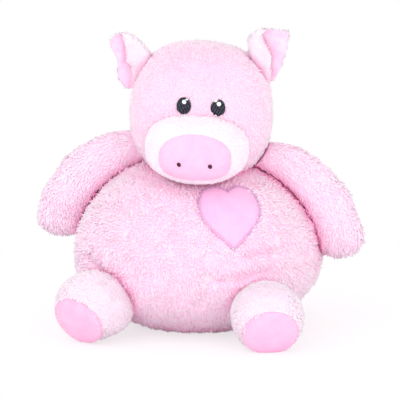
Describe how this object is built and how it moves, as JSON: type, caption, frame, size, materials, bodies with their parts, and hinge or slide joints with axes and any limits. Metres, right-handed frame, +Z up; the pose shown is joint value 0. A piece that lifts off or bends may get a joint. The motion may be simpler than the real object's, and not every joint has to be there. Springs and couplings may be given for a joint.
{
  "type": "plush pig",
  "caption": "Sitting plush pig with a ball-shaped body, stuffed muzzle, folded ears, draped arms, short feet with smooth soles and a heart patch on the chest.",
  "frame": {"origin": "on the floor, under the middle of the toy's bounding box", "axes": "+Z up, the face looks towards -Y, the viewer's right is +X"},
  "size_m": [0.2636, 0.2298, 0.2415],
  "materials": {
    "pile": "short tufted pile",
    "pale_pile": "short smooth pile",
    "velour": "smooth velour",
    "heart_velour": "smooth velour",
    "stuffing": "loose fibre",
    "dark_thread": "satin embroidery thread",
    "plum_thread": "satin embroidery thread",
    "white_thread": "satin embroidery thread"
  },
  "bodies": {
    "body": {"body_cover": "pile", "body_stuffing": "stuffing", "heart": "heart_velour", "tail": "pile"},
    "head": {"head_cover": "pile", "head_stuffing": "stuffing", "muzzle_cover": "pale_pile", "muzzle_stuffing": "stuffing", "snout_pad": "velour", "nostril_left": "plum_thread", "nostril_right": "plum_thread", "eye_left": "dark_thread", "eye_right": "dark_thread", "eye_highlight_left": "white_thread", "eye_highlight_right": "white_thread"},
    "ear_left": {"ear_left": "pile", "ear_lining_left": "velour"},
    "ear_right": {"ear_right": "pile", "ear_lining_right": "velour"},
    "arm_left": {"arm_left": "pile", "arm_stuffing_left": "stuffing"},
    "arm_right": {"arm_right": "pile", "arm_stuffing_right": "stuffing"},
    "foot_left": {"foot_left": "pale_pile", "foot_stuffing_left": "stuffing", "sole_left": "velour"},
    "foot_right": {"foot_right": "pale_pile", "foot_stuffing_right": "stuffing", "sole_right": "velour"}
  },
  "joints": [
    {"name": "head_turn", "type": "hinge", "parent": "body", "child": "head", "pos_m": [0.00242, 0.00174, 0.13146], "axis": [0.0405, -0.0881, 0.9953], "range_deg": [-15, 15], "stiffness_Nm_per_rad": 0.25},
    {"name": "ear_left_flop", "type": "hinge", "parent": "head", "child": "ear_left", "pos_m": [-0.04721, -0.01532, 0.19501], "axis": [0.9855, -0.071, 0.1541], "range_deg": [0, 35], "stiffness_Nm_per_rad": 0.02},
    {"name": "ear_right_flop", "type": "hinge", "parent": "head", "child": "ear_right", "pos_m": [0.05712, -0.0039, 0.20178], "axis": [0.9219, 0.3741, -0.1005], "range_deg": [0, 35], "stiffness_Nm_per_rad": 0.02},
    {"name": "arm_left_lift", "type": "hinge", "parent": "body", "child": "arm_left", "pos_m": [-0.05299, 0.01406, 0.1556], "axis": [0, 1, 0], "range_deg": [0, 60]},
    {"name": "arm_right_lift", "type": "hinge", "parent": "body", "child": "arm_right", "pos_m": [0.05976, 0.01406, 0.1506], "axis": [0, -1, 0], "range_deg": [0, 60]},
    {"name": "foot_left_lift", "type": "hinge", "parent": "body", "child": "foot_left", "pos_m": [-0.06455, -0.06759, 0.05506], "axis": [-0.8829, 0.4695, 0], "range_deg": [0, 20]},
    {"name": "foot_right_lift", "type": "hinge", "parent": "body", "child": "foot_right", "pos_m": [0.06552, -0.06545, 0.04956], "axis": [-0.9563, -0.2924, 0], "range_deg": [0, 20]}
  ]
}
